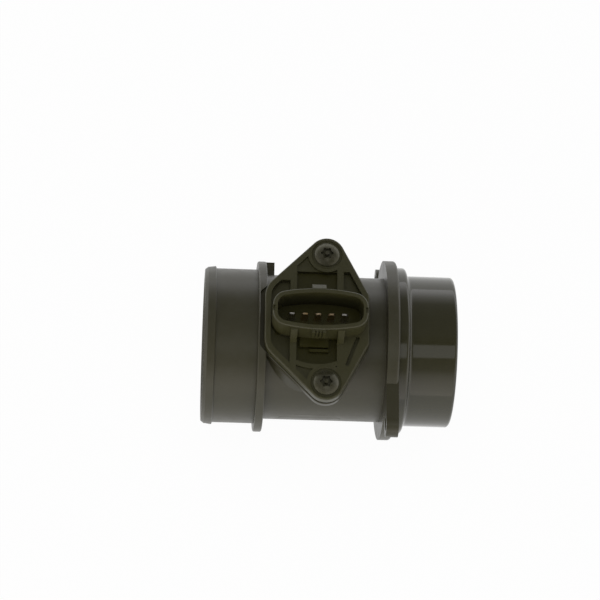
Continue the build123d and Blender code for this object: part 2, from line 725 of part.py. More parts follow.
def counterbore():
    """The recess round a screw's head, with its bevelled edge."""
    outer = COUNTERBORE_RADIUS + COUNTERBORE_BEVEL
    section = Polyline(
        (0, HEAD_SEAT),
        (COUNTERBORE_RADIUS, HEAD_SEAT),
        (COUNTERBORE_RADIUS, PLATE_TOP - COUNTERBORE_BEVEL),
        (outer, PLATE_TOP),
        (0, PLATE_TOP),
        close=True,
    )
    return revolve(Plane.XZ * make_face(section), Axis.Z, 360)


def sensor_body():
    """The sensor's one moulding: plate, shroud, neck and probe."""
    plate = slab_z(plate_outline(), SEAT_HEIGHT, PLATE_TOP)
    plate = chamfer(plate.edges().group_by(Axis.Z)[0], PLATE_UNDERCUT)
    plate = fillet(plate.edges().group_by(Axis.Z)[-1], PLATE_ROUNDING)
    plate -= relief()
    for place in screw_places():
        plate -= place * counterbore()
        plate -= slab_z(place * Circle(SHANK_RADIUS + 2 * LAP), SEAT_HEIGHT, HEAD_SEAT)
    probe = slab_z(Rectangle(PROBE_LENGTH, PROBE_WIDTH), PROBE_FOOT, SEAT_HEIGHT)
    probe = fillet(probe.edges().filter_by(Axis.Z), PROBE_EDGE)
    neck = slab_z(opening_outline(NECK_GAP), NECK_FOOT, SEAT_HEIGHT)
    body = plate + [shroud(), neck, probe]
    body -= slab_z(shroud_outline(-SHROUD_WALL), SOCKET_FLOOR, SHROUD_TOP)
    body -= [end_notches(), seal_groove(), chamber(), bypass(), finger_slot(), window()]
    return body - [contact(index) for index in range(CONTACTS)]


def sensor_o_ring():
    """The seal round the neck, pressed between its groove and the opening."""
    depth = NECK_GAP + SEAL_GROOVE_DEPTH
    radius = depth / 2 - FIT
    path = Pos(0, 0, SEAL_HEIGHT) * opening_outline(depth / 2).wire()
    start = path ^ 0
    return sweep(start * Circle(radius), path=path)


def carrier_plate():
    """The metal plate under the circuit, with the finger that holds the chip."""
    base = area(
        CHAMBER_OUTLET_EDGE + LAP, CHAMBER_INLET_EDGE - LAP, CHAMBER_FOOT + LAP, CARRIER_TOP
    )
    half = FINGER_WIDTH / 2
    base += area(-half, half, RUN_FOOT + FINGER_GAP, CHAMBER_FOOT + LAP)
    return slab_y(base, CARRIER_LEVEL, CARRIER_FRONT)


def circuit_substrate():
    """The ceramic circuit board on the carrier."""
    margin = LAP + SUBSTRATE_MARGIN
    board = area(
        CHAMBER_OUTLET_EDGE + margin,
        CHAMBER_INLET_EDGE - margin,
        CHAMBER_FOOT + margin,
        CARRIER_TOP - SUBSTRATE_MARGIN,
    )
    return slab_y(board, CARRIER_FRONT, CARRIER_FRONT + SUBSTRATE_THICKNESS)


def sensor_chip():
    """The hot-film chip on the carrier's finger, in the middle of the run."""
    middle = (RUN_TOP + RUN_FOOT + FINGER_GAP) / 2
    chip = Pos(0, middle) * Rectangle(CHIP_LENGTH, CHIP_WIDTH)
    return slab_y(chip, CARRIER_FRONT, CARRIER_FRONT + CHIP_THICKNESS)


def electronics_cover():
    """The cover over the electronics chamber."""
    return slab_y(electronics_lid(LAP), COVER_SEAT, PROBE_HALF)


def channel_cover():
    """The cover over the bypass, cut to the probe's rounded nose."""
    cover = slab_y(channel_lid(LAP), COVER_SEAT, PROBE_HALF)
    probe = slab_z(Rectangle(PROBE_LENGTH, PROBE_WIDTH), PROBE_FOOT, CHAMBER_TOP)
    return cover & fillet(probe.edges().filter_by(Axis.Z), PROBE_EDGE)


def air_temperature_sensor():
    """The thermistor bead and its two leads, across the window."""
    top = WINDOW_FOOT + WINDOW_HEIGHT
    centre = WINDOW_FOOT + WINDOW_HEIGHT / 2
    reach = LEAD_HOLE_DEPTH - LAP
    lead = slab_z(Circle(LEAD_RADIUS), WINDOW_FOOT - reach, top + reach)
    bead = Pos(0, 0, centre) * Cylinder(THERMISTOR_RADIUS, THERMISTOR_LENGTH)
    bead = fillet(bead.edges(), THERMISTOR_ROUNDING)
    return Pos(PROBE_LENGTH / 2 - WINDOW_DEPTH / 2, 0, 0) * (lead + bead)


def screw(place):
    """A domed screw with a six-lobed socket and a pin in its middle."""
    crown = HEAD_SEAT + HEAD_HEIGHT
    rise = HEAD_HEIGHT - HEAD_EDGE
    dome = (HEAD_RADIUS**2 + rise**2) / (2 * rise)
    head = slab_z(Circle(HEAD_RADIUS), HEAD_SEAT, crown) & Pos(0, 0, crown - dome) * Sphere(dome)
    shank = slab_z(Circle(SHANK_RADIUS), HEAD_SEAT - SHANK_LENGTH, HEAD_SEAT)
    shank = chamfer(shank.edges().sort_by(Axis.Z)[0], SHANK_TIP)
    socket = Circle(SOCKET_RADIUS)
    for turn in range(LOBES):
        socket += Rot(0, 0, turn * 360 / LOBES) * Pos(SOCKET_RADIUS, 0) * Circle(SOCKET_LOBE)
    socket -= Circle(SOCKET_PIN)
    return place * (head + shank - slab_z(socket, crown - SOCKET_DEPTH, crown))


def save(name, solid, place=SENSOR_PLACE):
    """Write one node's STEP file."""
    export_step(place * solid, f"parts/{name}.step")


def main():
    """Build every piece and write it."""
    os.makedirs("parts", exist_ok=True)
    on_axis = Pos(0, 0, 0)
    save("tube_housing", tube_housing(), on_axis)
    save("sealing_sleeve", sealing_sleeve(), on_axis)
    save("flow_straightener", flow_straightener(), on_axis)
    save("wire_screen", wire_screen(), on_axis)
    save("retaining_ring", retaining_ring(), on_axis)
    save("sensor_body", sensor_body())
    save("sensor_o_ring", sensor_o_ring())
    save("carrier_plate", carrier_plate())
    save("circuit_substrate", circuit_substrate())
    save("sensor_chip", sensor_chip())
    save("electronics_cover", electronics_cover())
    save("channel_cover", channel_cover())
    save("air_temperature_sensor", air_temperature_sensor())
    for index in range(CONTACTS):
        save(f"terminal_{index + 1}", contact(index))
    for name, place in zip(("front_screw", "rear_screw"), screw_places()):
        save(name, screw(place))


main()
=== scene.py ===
import math

import bpy
from bpy.props import (
    FloatProperty,
    FloatVectorProperty,
    IntProperty,
    PointerProperty,
)
from mathutils import Matrix, Vector


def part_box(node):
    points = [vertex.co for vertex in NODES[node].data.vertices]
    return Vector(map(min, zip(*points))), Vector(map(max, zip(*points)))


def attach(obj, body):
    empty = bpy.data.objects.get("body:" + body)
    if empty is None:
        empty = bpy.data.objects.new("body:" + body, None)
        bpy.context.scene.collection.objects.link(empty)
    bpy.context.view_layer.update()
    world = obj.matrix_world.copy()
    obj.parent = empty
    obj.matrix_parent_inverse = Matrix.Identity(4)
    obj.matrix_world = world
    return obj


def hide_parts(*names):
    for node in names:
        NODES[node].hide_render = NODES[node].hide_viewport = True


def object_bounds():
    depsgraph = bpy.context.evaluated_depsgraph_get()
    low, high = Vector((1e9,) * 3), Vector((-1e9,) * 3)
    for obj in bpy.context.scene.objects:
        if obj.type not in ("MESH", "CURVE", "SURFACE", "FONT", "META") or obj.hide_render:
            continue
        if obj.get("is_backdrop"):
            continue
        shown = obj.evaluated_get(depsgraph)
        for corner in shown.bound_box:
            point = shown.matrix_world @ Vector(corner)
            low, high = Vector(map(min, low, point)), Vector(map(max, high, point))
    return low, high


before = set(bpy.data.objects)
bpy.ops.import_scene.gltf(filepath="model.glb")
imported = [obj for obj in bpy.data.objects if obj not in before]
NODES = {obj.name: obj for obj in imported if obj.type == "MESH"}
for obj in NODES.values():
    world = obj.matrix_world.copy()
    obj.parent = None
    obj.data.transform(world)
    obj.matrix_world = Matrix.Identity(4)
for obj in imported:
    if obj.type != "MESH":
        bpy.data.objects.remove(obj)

bl_info = {
    "name": "Air mass meter",
    "version": (1, 0, 0),
    "blender": (4, 5, 0),
    "location": "View3D > Sidebar > Air meter",
    "description": "Finishes, inlet screen and stage of a plug-in air mass meter",
    "category": "Object",
}

MM = 0.001
WHITE = (1, 1, 1, 1)

# Moulded skin: the fineness of its noises, their parts that are rubbed, and its relief
GRAIN_DETAIL = 2.0
CLOUD_DETAIL = 4.0
PATCH_DETAIL = 5.0
PATCHES_PER_CLOUD = 3.7
RUBBED_CLOUDS = (0.4, 0.7)
RUBBED_PATCHES = (0.35, 0.75)
ROUGHNESS_SPREAD = 0.16
GRAIN_STRENGTH = 0.5

# Metal: the noise of its streaks, and what they do to its roughness and relief
STREAK_ROUGHNESS = 0.6
STREAK_RANGE = (0.2, 0.8)
ROUGHNESS_SWING = (0.75, 1.25)
STREAK_STRENGTH = 0.25
STREAK_DEPTH = 0.01 * MM

# Metal: the patches of its second tone, and the least of it inside a band
TONE_SCALE = 420.0
TONE_RANGE = (0.35, 0.7)
TONE_IN_BAND = 0.6

# Distance over which a field or a band of a finish fades out, and a rubbed tip
FIELD_EDGE = 0.2 * MM
TIP_EDGE = 0.1 * MM

# Fields of the sensor's middle pockets and socket, along and across the tube, where shade
# is painted into the colour
SHADED_POCKETS = (17.4 * MM, 41.8 * MM)
SHADED_SOCKET = (35.6 * MM, 14.4 * MM)

# Sides of the round band that holds the inlet's screen
RIM_SIDES = 128

# Lamps: the ways to them from the meter, their distances and their sizes in metres
KEY_WAY = (-0.1, 0.05, 1.0)
FILL_WAY = (-0.35, -1.0, 0.2)
STRIP_WAY = (0.11, -0.335, 0.936)
LAMP_DISTANCE = 1.6
STRIP_DISTANCE = 1.5
KEY_SIZE = (1.2, 1.2)
FILL_SIZE = (1.6, 0.5)

# Studio walls: heights from the horizon (0) to overhead (1), each with its brightness
# as a share of the horizon's, their tints, and how far one fades into the other
FRONT_WALL = (
    (0.0, 0.76),
    (0.05, 0.73),
    (0.39, 0.53),
    (0.54, 0.36),
    (0.67, 0.13),
    (1.0, 0.04),
)
REAR_WALL = (
    (0.0, 1.0),
    (0.12, 0.9),
    (0.34, 0.42),
    (0.53, 0.14),
    (0.7, 0.1),
    (1.0, 0.07),
)
FRONT_TINT = (1.0, 0.96, 0.93)
REAR_TINT = (0.98, 0.97, 1.0)
WALL_SEAM = 0.12

# Floor: its own white, and the gap between it and the meter
FLOOR_WHITE = (0.9, 0.9, 0.9, 1)
FLOOR_GAP = 0.2 * MM

# Camera: its place in metres, the directions of its right and up, and how far it sees
CAMERA_PLACE = (-0.09817, -0.37283, 1.00236)
CAMERA_RIGHT = (0.99799, 0.01104, 0.06244)
CAMERA_UP = (-0.03311, 0.93056, 0.36463)
CAMERA_REACH = 20.0


# What a user may change


def colour(name, text, value):
    """A colour property without alpha."""
    return FloatVectorProperty(
        name=name,
        description=text,
        default=value,
        subtype="COLOR",
        size=3,
        min=0,
        max=1,
    )


def share(name, text, value):
    """A property between nought and one."""
    return FloatProperty(
        name=name, description=text, default=value, subtype="FACTOR", min=0, max=1
    )


def measure(name, text, value, unit="NONE"):
    """A property of nought or more, with its unit where it has one."""
    return FloatProperty(name=name, description=text, default=value, unit=unit, min=0)


def length(name, text, value):
    """A length property in metres."""
    return measure(name, text, value, "LENGTH")


class MeterFinish(bpy.types.PropertyGroup):
    """Colours and gloss of the meter's surfaces."""

    plastic: colour("Plastic", "Black of the moulded plastic", (0.033, 0.031, 0.0145))
    plastic_worn: colour("Plastic, rubbed", "Where it is rubbed", (0.046, 0.044, 0.03))
    tube_roughness: share("Tube roughness", "Satin of the tube", 0.37)
    sensor: colour("Sensor", "Black of the sensor's plastic", (0.035, 0.0335, 0.0115))
    sensor_worn: colour("Sensor, rubbed", "Where it is rubbed", (0.05, 0.048, 0.026))
    sensor_roughness: share("Sensor roughness", "Satin of the sensor", 0.42)
    rubber: colour("Rubber", "Black of the sealing sleeve", (0.028, 0.027, 0.0118))
    rubber_ior: measure("Sleeve IOR", "Refraction of the rubber", 1.54)
    rubber_roughness: share("Sleeve roughness", "Gloss of the sleeve", 0.1)
    silicone: colour("Silicone", "Red-brown of the seal", (0.17, 0.045, 0.018))
    # Shade painted into the sensor's pockets and socket: the height under which it is
    # painted, and the share of the colour that stays there
    painted_shade_level: length("Dull level", "Height under which pockets are dull", 36.2 * MM)
    painted_shade: colour("Dull pockets", "What stays of the colour there", (0.64, 0.62, 0.12))
    tin: colour("Tin", "Tinned contacts", (0.68, 0.66, 0.61))
    brass: colour("Brass", "Where the tin is thin", (0.62, 0.43, 0.2))
    scuffed: length("Scuffed tips", "Height of the contacts' rubbed tips", 0.5 * MM)
    bare: length("Bare contacts", "Width of the row's middle that shows brass", 16 * MM)
    screw: colour("Screw", "Black zinc on the screws", (0.05, 0.048, 0.024))
    screw_worn: colour("Screw, rubbed", "Where the zinc shines", (0.078, 0.075, 0.052))
    wire: colour("Wire", "Drawn wire of the screen", (0.56, 0.56, 0.54))
    spring: colour("Spring", "Oiled spring steel", (0.2, 0.2, 0.21))
    sheet: colour("Sheet", "Aluminium of the carrier", (0.74, 0.74, 0.75))
    ceramic: colour("Ceramic", "Fired board", (0.8, 0.79, 0.74))
    silicon: colour("Silicon", "Polished chip", (0.05, 0.055, 0.1))
    bead: colour("Bead", "Glassy coat of the thermistor", (0.05, 0.03, 0.018))


class MeterScreen(bpy.types.PropertyGroup):
    """Sizes of the woven screen in the inlet."""

    pitch: length("Pitch", "Distance between two wires", 1.6 * MM)
    wire: length("Wire", "Diameter of a wire", 0.26 * MM)
    rim: length("Rim", "Width of the pressed rim", 1.2 * MM)
    sides: IntProperty(
        name="Sides", description="Sides of a wire's section", default=6, min=3
    )


class MeterStage(bpy.types.PropertyGroup):
    """Floor, lamps, world and camera."""

    floor: length("Floor", "Side of the floor", 12.0)
    floor_glow: share("Floor glow", "How much of the floor's white is its own", 0.965)
    key: measure("Key", "Power of the overhead lamp", 8.8, "POWER")
    fill: measure("Fill", "Power of the front lamp", 6.5, "POWER")
    strip: measure("Strip", "Power of the strip", 0.92, "POWER")
    strip_length: length("Strip length", "Length of the strip along the tube", 0.9)
    strip_width: length("Strip width", "Width of the strip", 0.48)
    horizon: measure("Horizon", "Brightness at the horizon", 1.9)
    lens: measure("Lens", "Focal length in millimetres", 150.0, "CAMERA")


# Node building


def node(tree, kind, **settings):
    """Add a node and set its properties."""
    made = tree.nodes.new(kind)
    for key, value in settings.items():
        setattr(made, key, value)
    return made


def wire_up(tree, *pairs):
    """Link pairs of sockets."""
    for start, end in pairs:
        tree.links.new(start, end)


def feed(tree, socket, value):
    """Link a socket to another one, or give it a number or a colour."""
    if isinstance(value, bpy.types.NodeSocket):
        wire_up(tree, (value, socket))
    else:
        socket.default_value = value


def calc(tree, operation, first, second=0.0, third=0.0):
    """A Math node on sockets or numbers."""
    made = node(tree, "ShaderNodeMath", operation=operation)
    for socket, value in zip(made.inputs, (first, second, third)):
        feed(tree, socket, value)
    return made.outputs["Value"]


def spread(tree, value, low, high, start=0.0, end=1.0):
    """Map a range of one value onto another range."""
    made = node(tree, "ShaderNodeMapRange")
    made.inputs["From Min"].default_value = low
    made.inputs["From Max"].default_value = high
    made.inputs["To Min"].default_value = start
    made.inputs["To Max"].default_value = end
    wire_up(tree, (value, made.inputs["Value"]))
    return made.outputs["Result"]


def split(tree, vector):
    """The X, Y and Z of a vector."""
    made = node(tree, "ShaderNodeSeparateXYZ")
    wire_up(tree, (vector, made.inputs[0]))
    return made.outputs


def near(tree, value, middle, width):
    """One where a value lies in a band of a width, and nought beside it."""
    aside = calc(tree, "ABSOLUTE", calc(tree, "SUBTRACT", value, middle))
    return spread(tree, aside, width / 2 - FIELD_EDGE, width / 2, 1.0, 0.0)


def object_place(tree):
    """Coordinates in the meter's own frame."""
    return node(tree, "ShaderNodeTexCoord").outputs["Object"]


def noise(tree, coords, scale, detail=3.0, roughness=0.55):
    """A noise texture on given coordinates."""
    made = node(tree, "ShaderNodeTexNoise")
    made.inputs["Detail"].default_value = detail
    made.inputs["Roughness"].default_value = roughness
    feed(tree, made.inputs["Scale"], scale)
    wire_up(tree, (coords, made.inputs["Vector"]))
    return made.outputs["Fac"]


def blend_colours(tree, factor, first, second, **settings):
    """Mix two colours."""
    made = node(tree, "ShaderNodeMix", data_type="RGBA", **settings)
    for title, value in (("Factor", factor), ("A", first), ("B", second)):
        feed(tree, made.inputs[title], value)
    return made.outputs["Result"]


def new_tree(name, kind, inputs, outputs):
    """A node tree with its sockets, given as names and kinds, and its two end nodes."""
    tree = bpy.data.node_groups.new(name, kind)
    for title, sort in inputs:
        tree.interface.new_socket(title, in_out="INPUT", socket_type=sort)
    for title, sort in outputs:
        tree.interface.new_socket(title, in_out="OUTPUT", socket_type=sort)
    return tree, node(tree, "NodeGroupInput"), node(tree, "NodeGroupOutput")


# Finishes


def moulded_skin():
    """Skin of a moulding: clouds, rubbed places, a fine grain and its height."""
    name = "moulded_skin"
    if name in bpy.data.node_groups:
        return bpy.data.node_groups[name]
    inputs = (
        ("Base", "NodeSocketColor"),
        ("Rubbed", "NodeSocketColor"),
        ("Roughness", "NodeSocketFloat"),
        ("Roughness Spread", "NodeSocketFloat"),
        ("Grain Scale", "NodeSocketFloat"),
        ("Cloud Scale", "NodeSocketFloat"),
        ("Rubbed Amount", "NodeSocketFloat"),
    )
    outputs = (
        ("Color", "NodeSocketColor"),
        ("Roughness", "NodeSocketFloat"),
        ("Height", "NodeSocketFloat"),
    )
    tree, start, end = new_tree(name, "ShaderNodeTree", inputs, outputs)
    given = start.outputs
    coords = object_place(tree)
    grain = noise(tree, coords, given["Grain Scale"], GRAIN_DETAIL)
    cloud = noise(tree, coords, given["Cloud Scale"], CLOUD_DETAIL)
    finer = calc(tree, "MULTIPLY", given["Cloud Scale"], PATCHES_PER_CLOUD)
    patch = noise(tree, coords, finer, PATCH_DETAIL)
    rubbed = calc(
        tree,
        "MULTIPLY",
        spread(tree, cloud, *RUBBED_CLOUDS),
        spread(tree, patch, *RUBBED_PATCHES),
    )
    amount = calc(tree, "MULTIPLY", rubbed, given["Rubbed Amount"])
    tone = blend_colours(tree, amount, given["Base"], given["Rubbed"])
    swing = calc(tree, "SUBTRACT", calc(tree, "ADD", cloud, patch), 1.0)
    swing = calc(tree, "MULTIPLY", swing, given["Roughness Spread"])
    wire_up(
        tree,
        (tone, end.inputs["Color"]),
        (calc(tree, "ADD", given["Roughness"], swing), end.inputs["Roughness"]),
        (grain, end.inputs["Height"]),
    )
    return tree


def streaks():
    """Height of fine streaks along one direction."""
    name = "streaks"
    if name in bpy.data.node_groups:
        return bpy.data.node_groups[name]
    inputs = (("Stretch", "NodeSocketVector"), ("Scale", "NodeSocketFloat"))
    outputs = (("Height", "NodeSocketFloat"),)
    tree, start, end = new_tree(name, "ShaderNodeTree", inputs, outputs)
    given = start.outputs
    scaled = node(tree, "ShaderNodeVectorMath", operation="MULTIPLY")
    coords = scaled.outputs["Vector"]
    lines = noise(tree, coords, given["Scale"], roughness=STREAK_ROUGHNESS)
    wire_up(
        tree,
        (object_place(tree), scaled.inputs[0]),
        (given["Stretch"], scaled.inputs[1]),
        (lines, end.inputs["Height"]),
    )
    return tree


def material(name):
    """An empty material with its tree and its Principled shader."""
    made = bpy.data.materials.new(name)
    made.use_nodes = True
    tree = made.node_tree
    return made, tree, tree.nodes["Principled BSDF"]


def place_group(tree, group, **values):
    """Put a node group in a material, with its values by socket name."""
    made = node(tree, "ShaderNodeGroup", node_tree=group)
    for key, value in values.items():
        made.inputs[key.replace("_", " ")].default_value = value
    return made.outputs


def bump(tree, shader, height, strength, distance):
    """Feed a height into a shader's normal."""
    made = node(tree, "ShaderNodeBump")
    made.inputs["Strength"].default_value = strength
    made.inputs["Distance"].default_value = distance
    wire_up(
        tree,
        (height, made.inputs["Height"]),
        (made.outputs["Normal"], shader.inputs["Normal"]),
    )


def rgba(value):
    """A property colour as a socket colour."""
    return (*value, 1.0)


def plastic(
    name, base, rubbed, roughness, grain=4000.0, cloud=90.0, amount=0.5, depth=0.02 * MM
):
    """Moulded plastic or rubber with its skin."""
    made, tree, shader = material(name)
    skin = place_group(
        tree,
        moulded_skin(),
        Base=rgba(base),
        Rubbed=rgba(rubbed),
        Roughness=roughness,
        Roughness_Spread=ROUGHNESS_SPREAD,
        Grain_Scale=grain,
        Cloud_Scale=cloud,
        Rubbed_Amount=amount,
    )
    wire_up(
        tree,
        (skin["Color"], shader.inputs["Base Color"]),
        (skin["Roughness"], shader.inputs["Roughness"]),
    )
    bump(tree, shader, skin["Height"], GRAIN_STRENGTH, depth)
    return made


def paint_shade_in_fields(made, middle, fields, level, tint):
    """Paint shade into a plastic under a level, in fields round a place on the tube's
    axis: the colour there is darkened to stand in for the shade in the pockets and the
    socket.
    """
    tree = made.node_tree
    shader = tree.nodes["Principled BSDF"]
    skin = shader.inputs["Base Color"].links[0].from_socket
    place = split(tree, object_place(tree))
    inside = 0.0
    for long, wide in fields:
        along = near(tree, place["X"], middle, long)
        field = calc(tree, "MULTIPLY", along, near(tree, place["Y"], 0.0, wide))
        inside = calc(tree, "MAXIMUM", field, inside)
    below = spread(tree, place["Z"], level - FIELD_EDGE, level, 1.0, 0.0)
    # Mask of the painted shade: inside the fields and under the level
    shade_mask = calc(tree, "MULTIPLY", inside, below)
    # Painted shade: the colour is multiplied by the tint there
    stays = blend_colours(tree, shade_mask, WHITE, rgba(tint))
    painted_shade_colour = blend_colours(tree, 1.0, skin, stays, blend_type="MULTIPLY")
    wire_up(tree, (painted_shade_colour, shader.inputs["Base Color"]))


def metal(
    name, base, second, roughness, stretch, scale=2500.0, metallic=1.0, band=None
):
    """Streaked metal with patches of a second tone.

    A band, given as its middle and width along the tube, holds that tone in it.
    """
    made, tree, shader = material(name)
    shader.inputs["Metallic"].default_value = metallic
    lines = place_group(tree, streaks(), Stretch=stretch, Scale=scale)["Height"]
    coords = object_place(tree)
    patches = spread(tree, noise(tree, coords, TONE_SCALE), *TONE_RANGE)
    if band:
        inside = near(tree, split(tree, coords)["X"], *band)
        amount = spread(tree, patches, 0.0, 1.0, TONE_IN_BAND, 1.0)
        patches = calc(tree, "MULTIPLY", amount, inside)
    tone = blend_colours(tree, patches, rgba(base), rgba(second))
    low, high = (roughness * swing for swing in ROUGHNESS_SWING)
    satin = spread(tree, lines, *STREAK_RANGE, low, high)
    wire_up(
        tree,
        (tone, shader.inputs["Base Color"]),
        (satin, shader.inputs["Roughness"]),
    )
    bump(tree, shader, lines, STREAK_STRENGTH, STREAK_DEPTH)
    return made


def scuff_top(made, level, metallic):
    """Make a metal less mirror-like above a height, where a plug has rubbed it."""
    tree = made.node_tree
    height = split(tree, object_place(tree))["Z"]
    stays = spread(tree, height, level - TIP_EDGE, level, 1.0, metallic)
    wire_up(tree, (stays, tree.nodes["Principled BSDF"].inputs["Metallic"]))


def sensor_middle():
    """Place of the sensor's axis along the tube, which is its seal's."""
    low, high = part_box("sensor_o_ring")
    return (low.x + high.x) / 2


def dress(names, made):
    """Give CAD nodes a finish."""
    for name in names:
        piece = NODES[name]
        piece.data.materials.clear()
        piece.data.materials.append(made)


# Inlet screen


def halved(tree, value):
    """Half of a value."""
    return calc(tree, "MULTIPLY", value, 0.5)


def row_of_points(tree, axis, first, gap, count):
    """Points in a row along an axis."""
    made = node(tree, "GeometryNodeMeshLine")
    origin = node(tree, "ShaderNodeCombineXYZ")
    stride = node(tree, "ShaderNodeCombineXYZ")
    wire_up(
        tree,
        (first, origin.inputs[axis]),
        (gap, stride.inputs[axis]),
        (count, made.inputs["Count"]),
        (origin.outputs[0], made.inputs["Start Location"]),
        (stride.outputs[0], made.inputs["Offset"]),
    )
    return made.outputs["Mesh"]


def upright_lines(tree, place, pitch, reach):
    """Upright lines at a pitch in the Y-Z plane, inside a circle.

    They have a point at every crossing and one half-way to the next.
    """
    half = calc(tree, "FLOOR", calc(tree, "DIVIDE", reach, pitch))
    lines = calc(tree, "MULTIPLY_ADD", half, 2.0, 1.0)
    points = calc(tree, "MULTIPLY_ADD", half, 4.0, 1.0)
    first = calc(tree, "MULTIPLY", calc(tree, "MULTIPLY", half, -1.0), pitch)
    copies = node(tree, "GeometryNodeInstanceOnPoints")
    real = node(tree, "GeometryNodeRealizeInstances")
    size = node(tree, "ShaderNodeVectorMath", operation="LENGTH")
    outside = node(
        tree, "FunctionNodeCompare", data_type="FLOAT", operation="GREATER_THAN"
    )
    trim = node(tree, "GeometryNodeDeleteGeometry", domain="POINT")
    row = row_of_points(tree, "Y", first, pitch, lines)
    column = row_of_points(tree, "Z", first, halved(tree, pitch), points)
    wire_up(
        tree,
        (row, copies.inputs["Points"]),
        (column, copies.inputs["Instance"]),
        (copies.outputs["Instances"], real.inputs["Geometry"]),
        (place, size.inputs[0]),
        (size.outputs["Value"], outside.inputs["A"]),
        (reach, outside.inputs["B"]),
        (real.outputs["Geometry"], trim.inputs["Geometry"]),
        (outside.outputs["Result"], trim.inputs["Selection"]),
    )
    return trim.outputs["Geometry"]


def turned(tree, geometry, rotation):
    """Turn a geometry about the origin."""
    made = node(tree, "GeometryNodeTransform")
    made.inputs["Rotation"].default_value = rotation
    wire_up(tree, (geometry, made.inputs["Geometry"]))
    return made.outputs["Geometry"]


def weave(tree, place, pitch, wire):
    """How far an upright wire lies off the screen's plane where it passes the others."""
    turn = calc(tree, "DIVIDE", math.pi, pitch)
    parts = split(tree, place)
    across, along = (
        calc(tree, "COSINE", calc(tree, "MULTIPLY", parts[axis], turn)) for axis in "YZ"
    )
    wave = calc(tree, "MULTIPLY", across, along)
    return calc(tree, "MULTIPLY", wave, halved(tree, wire))


def drawn_wires(tree, lines, rise, section):
    """Wires of a section along lines that rise off the screen's plane."""
    shift = node(tree, "ShaderNodeCombineXYZ")
    moved = node(tree, "GeometryNodeSetPosition")
    curve = node(tree, "GeometryNodeMeshToCurve")
    made = node(tree, "GeometryNodeCurveToMesh")
    made.inputs["Fill Caps"].default_value = True
    wire_up(
        tree,
        (rise, shift.inputs["X"]),
        (lines, moved.inputs["Geometry"]),
        (shift.outputs[0], moved.inputs["Offset"]),
        (moved.outputs["Geometry"], curve.inputs["Mesh"]),
        (curve.outputs["Curve"], made.inputs["Curve"]),
        (section, made.inputs["Profile Curve"]),
    )
    return made.outputs["Mesh"]


def pressed_rim(tree, radius, width, thickness):
    """Flat round band that holds the ends of the wires."""
    hoop = node(tree, "GeometryNodeCurvePrimitiveCircle")
    hoop.inputs["Resolution"].default_value = RIM_SIDES
    flat = node(tree, "GeometryNodeCurvePrimitiveQuadrilateral")
    made = node(tree, "GeometryNodeCurveToMesh")
    upright = turned(tree, hoop.outputs["Curve"], (0, math.pi / 2, 0))
    wire_up(
        tree,
        (radius, hoop.inputs["Radius"]),
        (width, flat.inputs["Width"]),
        (thickness, flat.inputs["Height"]),
        (upright, made.inputs["Curve"]),
        (flat.outputs["Curve"], made.inputs["Profile Curve"]),
    )
    return made.outputs["Mesh"]


def woven_screen_tree():
    """The tree of a round woven screen in the Y-Z plane, with a pressed rim."""
    inputs = (
        ("Geometry", "NodeSocketGeometry"),
        ("Radius", "NodeSocketFloat"),
        ("Pitch", "NodeSocketFloat"),
        ("Wire", "NodeSocketFloat"),
        ("Rim", "NodeSocketFloat"),
        ("Thickness", "NodeSocketFloat"),
        ("Place", "NodeSocketFloat"),
        ("Sides", "NodeSocketInt"),
        ("Finish", "NodeSocketMaterial"),
    )
    outputs = (("Geometry", "NodeSocketGeometry"),)
    tree, start, end = new_tree("woven_screen", "GeometryNodeTree", inputs, outputs)
    given = start.outputs
    place = node(tree, "GeometryNodeInputPosition").outputs[0]
    reach = calc(tree, "SUBTRACT", given["Radius"], halved(tree, given["Rim"]))
    lines = upright_lines(tree, place, given["Pitch"], reach)
    level = turned(tree, lines, (math.pi / 2, 0, 0))
    rise = weave(tree, place, given["Pitch"], given["Wire"])
    section = node(tree, "GeometryNodeCurvePrimitiveCircle")
    wire_up(
        tree,
        (given["Sides"], section.inputs["Resolution"]),
        (halved(tree, given["Wire"]), section.inputs["Radius"]),
    )
    join = node(tree, "GeometryNodeJoinGeometry")
    for net, sign in ((lines, 1.0), (level, -1.0)):
        side = calc(tree, "MULTIPLY", rise, sign)
        wires = drawn_wires(tree, net, side, section.outputs["Curve"])
        wire_up(tree, (wires, join.inputs["Geometry"]))
    rim = pressed_rim(tree, reach, given["Rim"], given["Thickness"])
    there = node(tree, "ShaderNodeCombineXYZ")
    moved = node(tree, "GeometryNodeTransform")
    real = node(tree, "GeometryNodeRealizeInstances")
    finish = node(tree, "GeometryNodeSetMaterial")
    wire_up(
        tree,
        (rim, join.inputs["Geometry"]),
        (given["Place"], there.inputs["X"]),
        (there.outputs[0], moved.inputs["Translation"]),
        (join.outputs["Geometry"], moved.inputs["Geometry"]),
        (moved.outputs["Geometry"], real.inputs["Geometry"]),
        (real.outputs["Geometry"], finish.inputs["Geometry"]),
        (given["Finish"], finish.inputs["Material"]),
        (finish.outputs["Geometry"], end.inputs["Geometry"]),
    )
    return tree


def add_object(name, data):
    """Make an object of some data and put it in the scene."""
    made = bpy.data.objects.new(name, data)
    bpy.context.scene.collection.objects.link(made)
    return made


def grown(name, tree, values):
    """Run a geometry tree on an empty mesh and keep the result as a plain object."""
    seed = add_object(name, bpy.data.meshes.new(name))
    modifier = seed.modifiers.new(name, "NODES")
    modifier.node_group = tree
    for item in tree.interface.items_tree:
        if item.in_out == "INPUT" and item.name in values:
            modifier[item.identifier] = values[item.name]
    graph = bpy.context.evaluated_depsgraph_get()
    made = bpy.data.meshes.new_from_object(seed.evaluated_get(graph), depsgraph=graph)
    seed.modifiers.clear()
    seed.data = made
    return seed


# Stage


def seen_as_backdrop(tree):
    """One for camera, mirror and glass rays, to which the floor glows white."""
    rays = node(tree, "ShaderNodeLightPath").outputs
    either = calc(tree, "MAXIMUM", rays["Is Camera Ray"], rays["Is Glossy Ray"])
    return calc(tree, "MAXIMUM", either, rays["Is Transmission Ray"])


